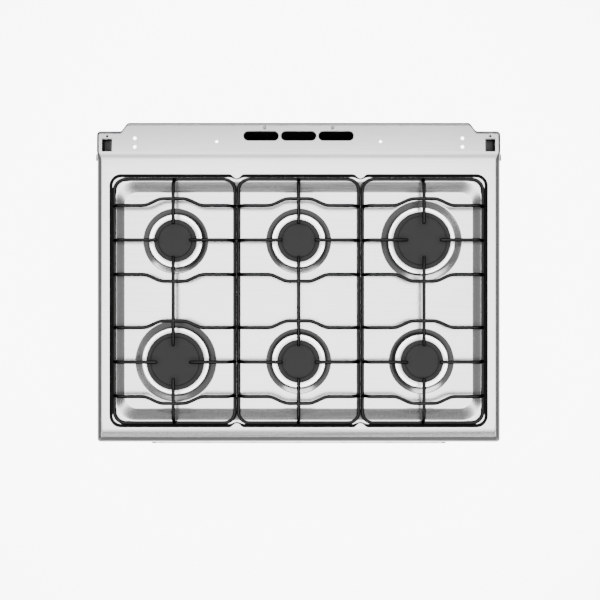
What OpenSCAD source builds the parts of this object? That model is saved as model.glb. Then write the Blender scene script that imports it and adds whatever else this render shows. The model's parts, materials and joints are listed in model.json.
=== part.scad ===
// Freestanding gas range with six burners, a sealed pressed cooktop, an oven and a storage drawer.
// Millimetres, +Z up, the front faces -Y, and the feet stand on z = 0.

/* [Overall] */
// Width of the cooktop, side to side
top_w = 760; // [750:1:790]
// Depth of the cooktop, front lip to rear edge
top_d = 602; // [600:1:612]
// Height of the cooktop rim above the floor
rim_z = 900; // [896:1:930]
// Outside width of the body under the cooktop
body_w = 748; // [744:1:748]

/* [Cooktop] */
// Height of the skirt that hangs from the cooktop's edge
skirt_h = 38; // [34:1:40]
// Thickness of the sheet metal
sheet = 1.2; // [0.8:0.1:1.4]
// Depth of the seat that the grates stand in, below the rim
seat_depth = 6.5; // [5:0.5:7]
// Depth of the recessed deck below the rim
deck_depth = 14; // [12:0.5:14.5]
// Depth of each bowl below the deck
bowl_depth = 6; // [4:0.5:6.5]
// Diameter of a small bowl's floor
small_bowl_d = 102; // [98:1:106]
// Diameter of a large bowl's floor
large_bowl_d = 131; // [126:1:136]

/* [Burners] */
// Distance between burner columns
column_pitch = 232.7; // [230:0.1:234]
// Distance between the rear and the front burner row
row_pitch = 227.5; // [225:0.5:230]
// Diameter of a small burner's cap
small_cap_d = 80.5; // [76:0.5:84]
// Diameter of a large burner's cap
large_cap_d = 109; // [104:0.5:112]
// How far a cap lies below the rim
cap_drop = 4; // [3:0.5:5]

/* [Grates] */
// Diameter of the wire around a grate
loop_wire_d = 6.35; // [6:0.05:6.6]
// Diameter of the wires that carry the pans
bar_wire_d = 6; // [5.5:0.1:6.2]
// Width of a grate between its wire centres
grate_w = 226.5; // [224:0.5:227]
// Depth of a grate between its wire centres
grate_d = 458.3; // [456:0.5:459]
// Height of the pan-carrying wires above the loop
grate_rise = 24; // [20:1:26]
// Distance from a burner's centre to the tips of the wires that point at it
tip_gap = 30.5; // [28:0.5:34]
// Distance from a burner row to the straight ends of its cross wires
cross_offset = 64.1; // [62:0.1:66]
// How far a cross wire bows away from the burner at its middle
cross_bow = 12.7; // [8:0.1:13]

/* [Oven] */
// Inside width of the oven
cavity_w = 600; // [580:2:600]
// Inside height of the oven
cavity_h = 410; // [400:2:412]
// Inside depth of the oven
cavity_d = 432; // [420:2:436]
// Thickness of the oven door
door_t = 38; // [36:1:38]
// Height of the oven's floor above the ground
cavity_z = 290; // [288:1:292]

/* [Controls] */
// Distance between neighbouring knobs
knob_pitch = 88; // [80:1:90]
// Diameter of a knob
knob_d = 44; // [38:1:48]
// Height of the knobs below the rim
knob_drop = 87; // [86:1:90]

/* [Hidden] */

$fn = 48;
far = 1000; // longer than anything it cuts

// Front to back, measured from the cooktop's centre
lip_y = -top_d / 2;
rear_y = top_d / 2;
panel_face_y = -279;
door_face_y = -284;
door_back_y = door_face_y + door_t;
body_front_y = -240;
body_back_y = 245;
handle_out = 23; // beyond the cooktop's lip
top_y = handle_out / 2; // centre of the cooktop in the part's frame

// Heights
seat_z = rim_z - seat_depth;
deck_z = rim_z - deck_depth;
bowl_z = deck_z - bowl_depth;
base_z = 30;
base_h = 40;
door_z0 = 280;
door_z1 = rim_z - 143;
panel_z0 = rim_z - 135;
panel_z1 = rim_z - 15;
knob_z = rim_z - knob_drop;
drawer_z0 = 84;
drawer_z1 = 266;

// Widths
body_x = body_w / 2;
door_x = 376;
cavity_x = cavity_w / 2;
cavity_top = cavity_z + cavity_h;
cavity_back_y = body_front_y + cavity_d + 4;

// Burners: columns run left to right, row 0 is the rear one
rear_row = 78.9;
front_row = rear_row - row_pitch;
columns = [-column_pitch, 0, column_pitch];
function row_y(row) = row == 0 ? rear_row : front_row;
function is_large(column, row) = (column == 2 && row == 0) || (column == 0 && row == 1);
function cap_r(column, row) = (is_large(column, row) ? large_cap_d : small_cap_d) / 2;
function bowl_r(column, row) = (is_large(column, row) ? large_bowl_d : small_bowl_d) / 2;
head_flange = 4; // how far a head's foot stands out past its cap
cap_top_z = rim_z - cap_drop;
cap_t = 6;
cap_step = 2.5;
cap_rim_w = 9; // width of the lower ring around a cap's disc

// Grates
grate_pitch = 233.4;
grate_y = -34.95;
loop_r = 21;
wire_sides = 8;
wire_gap = 0.3; // running room between parts that only rest on each other
loop_z = seat_z + loop_wire_d / 2 + wire_gap;
bar_z = loop_z + grate_rise;

// Door hinge
hinge_x = 345;
hinge_y = door_face_y + 18;
hinge_z = door_z0 + 14;
pin_r = 4;
running = 0.05; // radial clearance of shafts

// Controls
stem_r = 4;
push = 3;
valve_face_y = -270;
manifold_y = -226;
pipe_r = 9.5;
pipe_x = 356;
button_x = 330;
valve_x = [for (i = [-3:3]) i * knob_pitch];

// ---------- helpers ----------

// Everything below is drawn about the cooktop's centre
module placed() { translate([0, top_y, 0]) children(); }

module both_sides() {
    children();
    mirror([1, 0, 0]) children();
}

function smooth(t) = t * t * (3 - 2 * t);

function arc(centre, r, from, to, steps) =
    [for (i = [0:steps]) let (a = from + (to - from) * i / steps) centre + r * [cos(a), sin(a)]];

// A rectangle with round corners, from x0, y0 to x1, y1
function round_rect(x0, y0, x1, y1, r, steps = 6) = concat(
    arc([x1 - r, y0 + r], r, -90, 0, steps), arc([x1 - r, y1 - r], r, 0, 90, steps),
    arc([x0 + r, y1 - r], r, 90, 180, steps), arc([x0 + r, y0 + r], r, 180, 270, steps));

module box(low, high) { translate(low) cube(high - low); }

module slab(points, z0, z1) { translate([0, 0, z0]) linear_extrude(z1 - z0) polygon(points); }

// A cylinder along Y from y0 to y1
module rod_y(x, z, y0, y1, r) { translate([x, y0, z]) rotate([-90, 0, 0]) cylinder(h = y1 - y0, r = r); }

// A cylinder along X from x0 to x1
module rod_x(y, z, x0, x1, r) { translate([x0, y, z]) rotate([0, 90, 0]) cylinder(h = x1 - x0, r = r); }

// A wire through a list of points, whose flats lie on the true diameter
module wire(points, d, sides = wire_sides) {
    around = d / cos(180 / sides);
    for (i = [1:len(points) - 1])
        hull() {
            translate(points[i - 1]) sphere(d = around, $fn = sides);
            translate(points[i]) sphere(d = around, $fn = sides);
        }
}

module at_burners() {
    for (column = [0:2], row = [0:1]) {
        $column = column;
        $row = row;
        translate([columns[column], row_y(row), 0]) children();
    }
}

// ---------- cooktop ----------

roll_r = 7.5; // radius of the rolled side edges
nose_r = 11; // radius of the front roll
nose_drop = 1.5; // fall of the front slope before the roll
crease_y = lip_y + 20;
shoulder_y = rear_y - 16; // rear edge of the notched corners
shoulder_x0 = 320;
shoulder_x1 = 336.5;
seat_front = -271.2;
seat_rear = 202.7;
seat_x = 354.8;
seat_r = 20.6;
seat_notch_x = 116.4;
seat_notch_half = 14;
seat_notch_depth = 7.7;

// Outline from above, drawn in by inset
function top_outline(inset) =
    let (
        x = top_w / 2 - inset,
        r = 6 - inset,
        right = concat(
            arc([x - r, lip_y + inset + r], r, -90, 0, 4),
            arc([x - r, shoulder_y - inset - r], r, 0, 90, 4),
            [for (i = [0:5]) let (t = i / 5) [
                shoulder_x1 - inset - (shoulder_x1 - shoulder_x0) * t,
                shoulder_y - inset + (rear_y - shoulder_y) * smooth(t)]]),
        n = len(right))
    concat(right, [for (i = [n - 1:-1:0]) [-right[i][0], right[i][1]]]);

// Outline from the side, in y and z
function side_outline(inset, z0) = concat(
    [[rear_y - inset, z0], [rear_y - inset, rim_z - inset], [crease_y, rim_z - inset]],
    arc([lip_y + nose_r, rim_z - nose_drop - nose_r], nose_r - inset, 90, 180, 6),
    [[lip_y + inset, z0]]);

// Outline from the front, in x and z
function front_outline(inset, z0) =
    let (x = top_w / 2 - roll_r, z = rim_z - roll_r) concat(
    [[top_w / 2 - inset, z0]], arc([x, z], roll_r - inset, 0, 90, 5),
    arc([-x, z], roll_r - inset, 90, 180, 5), [[-top_w / 2 + inset, z0]]);

module top_shell(inset, z0) {
    intersection() {
        slab(top_outline(inset), z0, rim_z + 1);
        translate([-far / 2, 0, 0]) rotate([90, 0, 90]) linear_extrude(far) polygon(side_outline(inset, z0));
        translate([0, far / 2, 0]) rotate([90, 0, 0]) linear_extrude(far) polygon(front_outline(inset, z0));
    }
}

// The seat's outline with a notch between neighbouring grates, front and rear
function seat_outline(grow) =
    let (
        x = seat_x + grow, y0 = seat_front - grow, y1 = seat_rear + grow, r = seat_r + grow,
        h = seat_notch_half - grow / 2, d = seat_notch_depth - grow / 2, n = seat_notch_x)
    concat(
        [[-n - h, y0], [-n - 3, y0 + d], [-n + 3, y0 + d], [-n + h, y0]],
        [[n - h, y0], [n - 3, y0 + d], [n + 3, y0 + d], [n + h, y0]],
        arc([x - r, y0 + r], r, -90, 0, 6), arc([x - r, y1 - r], r, 0, 90, 6),
        [[n + h, y1], [n + 3, y1 - d], [n - 3, y1 - d], [n - h, y1]],
        [[-n + h, y1], [-n + 3, y1 - d], [-n - 3, y1 - d], [-n - h, y1]],
        arc([-x + r, y1 - r], r, 90, 180, 6), arc([-x + r, y0 + r], r, 180, 270, 6));

deck_x = 327.5;
deck_front = -236.8;
deck_rear = 170;
deck_r = 22;
slope_x = 15.5;
slope_y = 21.6;

// The recess in the deck, wider at its top; grow gives the sheet's other face
module deck_recess(grow, drop, top) {
    hull() {
        slab(round_rect(-deck_x - grow, deck_front - grow, deck_x + grow, deck_rear + grow, deck_r),
            deck_z - drop, deck_z - drop + 0.01);
        slab(round_rect(-deck_x - slope_x - grow, deck_front - slope_y - grow,
            deck_x + slope_x + grow, deck_rear + slope_y + grow, deck_r + slope_x), top, top + 0.01);
    }
}

bowl_slope = 10;
module bowl(r, grow, drop, top) {
    rise = top - bowl_z + drop;
    translate([0, 0, bowl_z - drop])
        cylinder(h = rise, r1 = r + grow, r2 = r + grow + bowl_slope * rise / bowl_depth);
}

function throat_r(column, row) = cap_r(column, row) - 10; // hole in a bowl that the burner's cup fills
slot_pitch = 70.5;
slot_w = 64.1;
slot_d = 15.4;
slot_y = 275.6;
socket_x = 360.3;
socket_y = 258;
socket_w = 19;
socket_d = 23.7;
lid_hole_x = 308;
lid_hole_y = 263.1;
lid_hole_gap = 16.2;
lid_hole_r = 3.3;
screw_r = 1.75;
ledge_screw = [64, 291];
tab = [2, 12, 15]; // small locating tab on each side edge
tab_y = 236;

module cooktop_panel() color("gainsboro") placed() {
    difference() {
        union() {
            difference() {
                top_shell(0, rim_z - skirt_h);
                top_shell(sheet, rim_z - skirt_h - 1);
            }
            slab(seat_outline(sheet), seat_z - sheet, rim_z - sheet / 2);
            deck_recess(sheet, sheet, seat_z - sheet);
            at_burners() bowl(bowl_r($column, $row), sheet, sheet, deck_z - sheet / 2);
            box([-body_x + 4, lip_y + sheet / 2, rim_z - skirt_h],
                [body_x - 4, lip_y + 20, rim_z - skirt_h + sheet]);
            both_sides() box([top_w / 2 - sheet / 2, tab_y - tab.y / 2, rim_z - 22],
                [top_w / 2 + tab.x, tab_y + tab.y / 2, rim_z - 22 + tab.z]);
        }
        slab(seat_outline(0), seat_z, rim_z + 2);
        deck_recess(0, 0, seat_z + 0.02);
        at_burners() {
            bowl(bowl_r($column, $row), 0, 0, deck_z + 0.02);
            translate([0, 0, bowl_z - 10]) cylinder(h = 20, r = throat_r($column, $row) + 1);
            electrode_place(cap_r($column, $row)) translate([0, 0, bowl_z - 10])
                cylinder(h = 20, r = electrode_r + 1);
        }
        for (i = [-1:1]) slot_cut(i * slot_pitch);
        both_sides() {
            box([socket_x - socket_w / 2, socket_y - socket_d / 2, rim_z - 10],
                [socket_x + socket_w / 2, socket_y + socket_d / 2, rim_z + 2]);
            for (s = [-1, 1]) translate([lid_hole_x, lid_hole_y + s * lid_hole_gap / 2, rim_z - 10])
                cylinder(h = 20, r = lid_hole_r);
            translate([lid_hole_x / 2, 265, rim_z - 10]) cylinder(h = 20, r = 2.8);
            translate([socket_x, 275, rim_z - 10]) cylinder(h = 20, r = 2.3);
            translate([ledge_screw.x, ledge_screw.y, rim_z - 10]) cylinder(h = 20, r = screw_r);
        }
    }
}

module slot_cut(x) {
    r = slot_d / 2;
    translate([x, slot_y, rim_z - 10]) linear_extrude(20) union() {
        square([slot_w - slot_d, slot_d], center = true);
        for (s = [-1, 1]) translate([s * (slot_w / 2 - r), 0]) circle(r = r);
    }
}

// ---------- body ----------

module side_panel() {
    top_flange = 14;
    box([body_x - 1, body_front_y, base_z + 0.2], [body_x, body_back_y, rim_z - 5]);
    box([body_x - top_flange, body_front_y, rim_z - 6], [body_x - 0.5, body_back_y - 60, rim_z - 5]);
    box([body_x - 12, body_front_y, base_z + 0.2], [body_x - 0.5, body_back_y, base_z + 1.2]);
}

module side_panel_right() color("silver") placed() difference() {
    side_panel();
    socket_relief();
}
module side_panel_left() color("silver") placed() mirror([1, 0, 0]) difference() {
    side_panel();
    socket_relief();
}

// Room for the lid-hinge socket at the panel's top rear corner
module socket_relief() {
    box([socket_x - 14, socket_y - 16, rim_z - 40], [body_x + 2, socket_y + 20, rim_z]);
}

vent_rows = 6;
module back_panel() color("darkgray") placed() difference() {
    box([-body_x + 1.2, body_back_y - 1.2, base_z + 1.4], [body_x - 1.2, body_back_y, rim_z - 45]);
    box([-108, 200, 638], [108, far, 692]);
    rod_y(pipe_x, knob_z, 200, 300, 12);
    both_sides() for (i = [0:vent_rows - 1])
        box([170, 200, 560 + i * 14], [290, 300, 566 + i * 14]);
    at_back_screws() rod_y(0, 0, 200, 300, screw_r);
}

module at_back_screws() {
    both_sides() for (z = [90, 450, 835]) translate([366, 0, z]) children();
}

module base_frame() color("dimgray") placed() difference() {
    box([-body_x + 1.4, body_front_y, base_z], [body_x - 1.4, body_back_y - 1.4, base_z + base_h]);
    box([-body_x + 42, body_front_y + 42, 0], [body_x - 42, body_back_y - 42, 100]);
    difference() {
        box([-body_x + 3.4, body_front_y + 2, base_z + 2], [body_x - 3.4, body_back_y - 3.4, 100]);
        box([-body_x + 40, body_front_y + 40, 0], [body_x - 40, body_back_y - 40, 100]);
    }
    both_sides() {
        box([body_x - 14, body_front_y - 1, 0], [body_x, body_back_y, base_z + 1.4]);
        for (y = foot_y) translate([foot_x, y, 0]) cylinder(h = 50, r = foot_stud_r + running);
    }
}

foot_x = 345;
foot_y = [-215, 218];
foot_stud_r = 5;
module foot(x, y) {
    translate([x, y + top_y, 0]) {
        cylinder(h = 4, r = 20);
        translate([0, 0, 4]) cylinder(h = 8, r1 = 20, r2 = 12);
        cylinder(h = 56, r = foot_stud_r);
    }
}
module foot_front_left() color("black") foot(-foot_x, foot_y[0]);
module foot_front_right() color("black") foot(foot_x, foot_y[0]);
module foot_rear_left() color("black") foot(-foot_x, foot_y[1]);
module foot_rear_right() color("black") foot(foot_x, foot_y[1]);

module front_frame() color("dimgray") placed() difference() {
    box([-body_x + 1.4, body_front_y, 270], [body_x - 1.4, body_front_y + 1.2, panel_z0 - 0.2]);
    box([-cavity_x, -far, cavity_z], [cavity_x, far, cavity_top]);
    both_sides() box([hinge_x - 5.5, -far, hinge_z - 9], [hinge_x + 5.5, far, hinge_z + 9]);
}

module control_panel() color("silver") placed() difference() {
    box([-door_x, panel_face_y, panel_z0], [door_x, body_front_y - 0.2, panel_z1]);
    box([-door_x + sheet, panel_face_y + sheet, panel_z0 + sheet], [door_x - sheet, 0, panel_z1 - sheet]);
    for (x = valve_x) rod_y(x, knob_z, -far / 2, 0, 7);
    rod_y(button_x, knob_z, -far / 2, 0, button_r + 0.4);
}

// ---------- oven ----------

rib_z = [380, 470, 560];
rib_d = 9;
floor_plate_z = 320;

module oven_cavity() color("darkslategray") placed() difference() {
    union() {
        difference() {
            union() {
                box([-cavity_x - sheet, body_front_y + 1.4, cavity_z - sheet],
                    [cavity_x + sheet, cavity_back_y + sheet, cavity_top + sheet]);
                box([-cavity_x - 18, body_front_y + 1.4, cavity_z - 14],
                    [cavity_x + 18, body_front_y + 2.6, cavity_top + 12]);
            }
            box([-cavity_x, -far, cavity_z], [cavity_x, cavity_back_y, cavity_top]);
        }
        both_sides() {
            for (z = rib_z) rib(z, z + 4);
            rib(floor_plate_z - 5, floor_plate_z - 0.3);
        }
    }
    box([-98, cavity_back_y - 1, 645], [98, far, 685]);
    translate([0, -180, cavity_z - 10]) cylinder(h = 30, r = 9);
}

module rib(z0, z1) {
    box([cavity_x - rib_d, body_front_y + 35, z0], [cavity_x + sheet / 2, cavity_back_y - 12, z1]);
}

module oven_floor_plate() color("slategray") placed() difference() {
    box([-cavity_x + 2, body_front_y + 12, floor_plate_z],
        [cavity_x - 2, cavity_back_y - 4, floor_plate_z + 1.5]);
    for (i = [-4:4], s = [-1, 1])
        box([s * 255 - 22, -20 + i * 40 - 4, 0], [s * 255 + 22, -20 + i * 40 + 4, far]);
}

module oven_burner() color("slategray") placed() difference() {
    union() {
        rod_y(0, 304, -190, 165, 9.5);
        translate([0, -180, 268]) cylinder(h = 36, r = 7);
        box([-14, 150, cavity_z], [14, 160, 304]);
    }
    for (i = [0:15], s = [-1, 1])
        translate([0, -150 + i * 19, 304]) rotate([0, s * 60, 0]) cylinder(h = 20, r = 1.2, $fn = 6);
}

module oven_insulation() color("khaki") placed() difference() {
    box([-cavity_x - 36, body_front_y + 6, cavity_z], [cavity_x + 36, body_back_y - 6, cavity_top + 36]);
    box([-cavity_x - sheet - 0.3, -far, 0],
        [cavity_x + sheet + 0.3, cavity_back_y + sheet + 0.3, cavity_top + sheet + 0.3]);
    box([-108, 100, 638], [108, far, 692]);
}

duct_x = 106;
duct_y0 = 247;
duct_y1 = 292;
module flue_duct() color("black") placed() difference() {
    union() {
        box([-duct_x, cavity_back_y + sheet + 0.2, 640], [duct_x, duct_y1, 690]);
        box([-duct_x, duct_y0, 640], [duct_x, duct_y1, rim_z - 4]);
    }
    box([-duct_x + sheet, 100, 640 + sheet], [duct_x - sheet, duct_y1 - sheet, 690 - sheet]);
    box([-duct_x + sheet, duct_y0 + sheet, 640 + sheet], [duct_x - sheet, duct_y1 - sheet, rim_z]);
}

// ---------- gas ----------

module gas_manifold() color("goldenrod") placed() difference() {
    union() {
        rod_x(manifold_y, knob_z, -300, pipe_x, pipe_r);
        translate([pipe_x, manifold_y, knob_z]) sphere(r = pipe_r);
        rod_y(pipe_x, knob_z, manifold_y, body_back_y + 3, pipe_r);
        rod_y(pipe_x, knob_z, body_back_y + 1, body_back_y + 22, inlet_r);
        translate([pipe_x, body_back_y + 1, knob_z]) rotate([-90, 0, 0]) cylinder(h = 6, r = 14, $fn = 6);
    }
    rod_y(pipe_x, knob_z, body_back_y - 20, body_back_y + 30, 6);
    for (x = valve_x) rod_y(x, knob_z, manifold_y - 20, manifold_y - 4, 5);
}
inlet_r = 10.48; // a half-inch male pipe thread

module gas_valves() color("darkkhaki") placed() {
    for (x = valve_x) difference() {
        union() {
            rod_y(x, knob_z, valve_face_y, -246, 12);
            box([x - 9, -250, knob_z - 12], [x + 9, -238, knob_z + 12]);
            rod_y(x, knob_z, -240, manifold_y - 5, 4.9);
        }
        rod_y(x, knob_z, valve_face_y - 1, -248, stem_r + running);
    }
}

tube_d = 8;
tube_z = rim_z - 50;
module supply_tubes() color("silver") placed() {
    for (s = [-1, 1]) {
        wire(front_tube(s * 3 * knob_pitch, s * column_pitch), tube_d);
        wire(rear_tube(s * 2 * knob_pitch, s * column_pitch, s * 2 * knob_pitch), tube_d);
    }
    wire(front_tube(-knob_pitch, 0), tube_d);
    wire(rear_tube(knob_pitch, 0, knob_pitch), tube_d);
    wire([[0, -244, knob_z - 17], [0, -236, knob_z - 34], [-40, -226, knob_z - 44], [-352, -222, knob_z - 44],
        [-356, -218, knob_z - 60], [-356, -200, 300], [-340, -182, 262], [-20, -180, 262],
        [0, -180, 263]], tube_d);
}
function front_tube(valve, burner) = [
    [valve, -242, knob_z + 17], [valve, -238, knob_z + 26], [valve, -228, tube_z],
    [valve * 0.2 + burner * 0.8, -204, tube_z], [burner, -196, tube_z],
    [burner, front_row - cup_r - tube_d / 2 - 0.2, tube_z]];
function rear_tube(valve, burner, lane) = [
    [valve, -242, knob_z + 17], [valve, -238, knob_z + 26], [valve, -228, tube_z],
    [lane, -60, tube_z], [burner, rear_row - 62, tube_z],
    [burner, rear_row - cup_r - tube_d / 2 - 0.2, tube_z]];

// ---------- burners ----------

cup_r = 24;
head_h = cap_top_z - cap_t - bowl_z; // from the bowl's floor to the underside of the cap
flame_ports = 30;

module burner_head(r) {
    difference() {
        union() {
            translate([0, 0, bowl_z]) cylinder(h = 3, r = r + head_flange);
            translate([0, 0, bowl_z]) cylinder(h = head_h, r = r - 3);
            translate([0, 0, bowl_z - 3]) cylinder(h = 3.5, r = r - 10);
            translate([0, 0, tube_z - 8]) cylinder(h = bowl_z - tube_z + 8, r = cup_r);
        }
        translate([0, 0, bowl_z + 2]) cylinder(h = head_h, r = r - 9);
        translate([0, 0, tube_z]) cylinder(h = 80, r = 11);
        electrode_place(r) translate([0, 0, bowl_z - 10]) cylinder(h = 40, r = electrode_r + 0.6);
        for (i = [0:flame_ports - 1]) rotate(i * 360 / flame_ports)
            translate([r - 12, -1, bowl_z + head_h - 3]) cube([20, 2, 10]);
    }
}

module burner_heads() color("lightgray") placed() at_burners() burner_head(cap_r($column, $row));

electrode_r = 2.2;
electrode_inset = 6.2; // from the cap's edge, so that the cap hides it
module electrode_place(r) { rotate(-35) translate([r - electrode_inset, 0, 0]) children(); }
module igniter_electrodes() color("white") placed() at_burners() electrode_place(cap_r($column, $row)) {
    translate([0, 0, bowl_z - 28]) cylinder(h = 33, r = electrode_r);
    translate([0, 0, bowl_z + 4]) cylinder(h = 4.5, r = 0.9);
}

module burner_cap(column, row) {
    r = cap_r(column, row);
    t = [columns[column], row_y(row) + top_y, cap_top_z];
    color("dimgray") translate(t) rotate_extrude() polygon([
        [0, -cap_t + wire_gap], [r - 11, -cap_t + wire_gap], [r - 11, -cap_t - 2.5], [r - 9.5, -cap_t - 2.5],
        [r - 9.5, -cap_t + wire_gap], [r - 0.8, -cap_t + wire_gap], [r, -cap_t + 1.2], [r, -cap_step - 0.8],
        [r - 0.8, -cap_step], [r - cap_rim_w + 0.8, -cap_step], [r - cap_rim_w, -0.8], [r - cap_rim_w - 0.8, 0],
        [0, 0]]);
}
module burner_cap_rear_left() burner_cap(0, 0);
module burner_cap_rear_middle() burner_cap(1, 0);
module burner_cap_rear_right() burner_cap(2, 0);
module burner_cap_front_left() burner_cap(0, 1);
module burner_cap_front_middle() burner_cap(1, 1);
module burner_cap_front_right() burner_cap(2, 1);

// ---------- grates ----------

// How a pan wire comes down onto the loop, as distance inside the loop and height above it
foot_path = [[0.3, 5.4], [2.6, 8], [8.6, 20], [13.5, 24]];
function bow(x) =
    let (t = (57.5 - abs(x)) / (57.5 - 18)) cross_bow * smooth(max(0, min(1, t)));

function rise(z) = z * grate_rise / 24;

module cross_wire(y, side) {
    half = grate_w / 2;
    left = [for (p = foot_path) [-half + p[0], y, loop_z + rise(p[1])]];
    mid = [for (x = [-57.5, -46, -38, -28, -18, 18, 28, 38, 46, 57.5]) [x, y + side * bow(x), bar_z]];
    right = [for (i = [3:-1:0]) let (p = foot_path[i]) [half - p[0], y, loop_z + rise(p[1])]];
    wire(concat(left, mid, right), bar_wire_d);
}

module grate_x(points, side) {
    wire([for (p = points) [side * p[0], p[1], p[2]]], bar_wire_d);
}

module grate_loop() {
    x = grate_w / 2;
    y = grate_d / 2;
    corners = round_rect(-x, grate_y - y, x, grate_y + y, loop_r, 4);
    wire([for (p = concat(corners, [corners[0]])) [p[0], p[1], loop_z]], loop_wire_d);
}

module grate(column) {
    half = grate_w / 2;
    front = grate_y - grate_d / 2;
    rear = grate_y + grate_d / 2;
    color("black") translate([(column - 1) * grate_pitch, top_y, 0]) {
        grate_loop();
        for (row = [0:1], side = [-1, 1]) {
            cross_wire(row_y(row) + side * cross_offset, side);
            grate_x(concat([for (p = foot_path) [half - p[0], row_y(row), loop_z + rise(p[1])]],
                [[tip_gap, row_y(row), bar_z]]), side);
        }
        wire(concat([for (p = foot_path) [0, rear - p[0], loop_z + rise(p[1])]],
            [[0, rear_row + tip_gap, bar_z]]), bar_wire_d);
        wire(concat([for (p = foot_path) [0, front + p[0], loop_z + rise(p[1])]],
            [[0, front_row - tip_gap, bar_z]]), bar_wire_d);
        wire([[0, rear_row - tip_gap, bar_z], [0, front_row + tip_gap, bar_z]], bar_wire_d);
    }
}
module grate_left() grate(0);
module grate_middle() grate(1);
module grate_right() grate(2);

// ---------- fittings on the cooktop ----------

module lid_hinge_sockets() color("black") placed() both_sides() {
    difference() {
        box([socket_x - 11, socket_y - 13.4, rim_z - 34], [socket_x + 11, socket_y + 13.4, rim_z - sheet - 0.1]);
        box([socket_x - socket_w / 2, socket_y - socket_d / 2, rim_z - 32],
            [socket_x + socket_w / 2, socket_y + socket_d / 2, rim_z + 1]);
    }
    box([socket_x - 8.5, socket_y - 9, rim_z - 32.2], [socket_x - 5.5, socket_y + 9, rim_z - 5]);
}

module screw_head(r = 4.2, shank = 9) {
    difference() {
        union() {
            cylinder(h = 1.6, r = r);
            translate([0, 0, 1.6]) cylinder(h = 0.8, r1 = r, r2 = r - 1.2);
            translate([0, 0, -shank]) cylinder(h = shank, r = screw_r - 0.05);
        }
        for (a = [0, 90]) rotate(a) translate([-1.8, -0.4, 1.4]) cube([3.6, 0.8, 2]);
    }
}

module panel_screws() color("silver") placed() {
    both_sides() translate([ledge_screw.x, ledge_screw.y, rim_z]) screw_head(3, 3);
    at_back_screws() translate([0, body_back_y, 0]) rotate([-90, 0, 0]) screw_head();
}

// ---------- controls ----------

module valve_stem(i) color("tan") placed() {
    x = valve_x[i - 1];
    rod_y(x, knob_z, -302, -254, stem_r);
    rod_y(x, knob_z, valve_face_y - push - 3.4, valve_face_y - push - 1, 6);
}
module valve_stem_1() valve_stem(1);
module valve_stem_2() valve_stem(2);
module valve_stem_3() valve_stem(3);
module valve_stem_4() valve_stem(4);
module valve_stem_5() valve_stem(5);
module valve_stem_6() valve_stem(6);
module valve_stem_7() valve_stem(7);

knob_back_y = panel_face_y - push - 1;
knob_len = 26;
module knob(i) {
    color("dimgray") translate([valve_x[i - 1], knob_back_y + top_y, knob_z]) rotate([90, 0, 0])
        difference() {
            union() {
                rotate_extrude() polygon([
                    [0, 1], [knob_d / 2 - 3, 1], [knob_d / 2 - 3, 0], [knob_d / 2, 0], [knob_d / 2, 3],
                    [knob_d / 2 - 2, 5], [knob_d / 2 - 3.5, 13], [knob_d / 2 - 5, 15], [0, 15]]);
                intersection() {
                    cylinder(h = knob_len, r = knob_d / 2 - 4);
                    translate([-6, -knob_d, 0]) cube([12, 2 * knob_d, knob_len]);
                }
            }
            translate([0, 0, -1]) cylinder(h = 20.5, r = stem_r + running);
            translate([-0.6, 6, knob_len - 0.6]) cube([1.2, knob_d / 2, 2]);
        }
}
module knob_1() knob(1);
module knob_2() knob(2);
module knob_3() knob(3);
module knob_4() knob(4);
module knob_5() knob(5);
module knob_6() knob(6);
module knob_7() knob(7);

button_r = 7;
module ignition_button() color("dimgray") placed() {
    rod_y(button_x, knob_z, panel_face_y - 5, -262, button_r);
    rod_y(button_x, knob_z, -275, -273, 9);
}
module spark_module() color("black") placed() difference() {
    box([button_x - 16, -269.5, knob_z - 20], [button_x + 13, -238, knob_z + 20]);
    rod_y(button_x, knob_z, -far / 2, -254, button_r + running);
}

// ---------- door ----------

window_x = 255;
window_z0 = 415;
window_z1 = 625;
handle_z = 718;
handle_x = 300;
handle_post_x = 262;
bar_t = 13;
bar_h = 22;

module hinge_notch() {
    both_sides() box([hinge_x - 6, hinge_y - 8, 0], [hinge_x + 6, 0, hinge_z + 10]);
}

module door_panel() color("silver") placed() difference() {
    box([-door_x, door_face_y, door_z0], [door_x, door_back_y - 0.2, door_z1]);
    box([-door_x + sheet, door_face_y + sheet, door_z0 + sheet], [door_x - sheet, 0, door_z1 - sheet]);
    slab_y(round_rect(-window_x, window_z0, window_x, window_z1, 14), -far / 2, 0);
    both_sides() rod_y(handle_post_x, handle_z, -far / 2, 0, 3.1);
    hinge_notch();
}

// An outline in x and z, extruded along y
module slab_y(points, y0, y1) {
    translate([0, y1, 0]) rotate([90, 0, 0]) linear_extrude(y1 - y0) polygon(points);
}

module door_outer_glass() color("black") placed()
    slab_y(round_rect(-window_x - 14, window_z0 - 14, window_x + 14, window_z1 + 14, 8),
        door_face_y + sheet + 0.1, door_face_y + sheet + 4.1);

module door_inner_glass() color("black") placed()
    slab_y(round_rect(-window_x + 10, window_z0 + 4, window_x - 10, window_z1 - 4, 8),
        door_back_y - sheet - 4.2, door_back_y - sheet - 0.2);

module door_liner() color("darkslategray") placed() difference() {
    box([-door_x + sheet + 0.3, door_back_y - 24, door_z0 + sheet + 0.3],
        [door_x - sheet - 0.3, door_back_y, door_z1 - sheet - 0.3]);
    box([-door_x + 2 * sheet + 0.3, -far / 2, door_z0 + 2 * sheet + 0.3],
        [door_x - 2 * sheet - 0.3, door_back_y - sheet, door_z1 - 2 * sheet - 0.3]);
    slab_y(round_rect(-window_x + 25, window_z0 + 18, window_x - 25, window_z1 - 18, 8), -far / 2, 0);
    hinge_notch();
}

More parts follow.
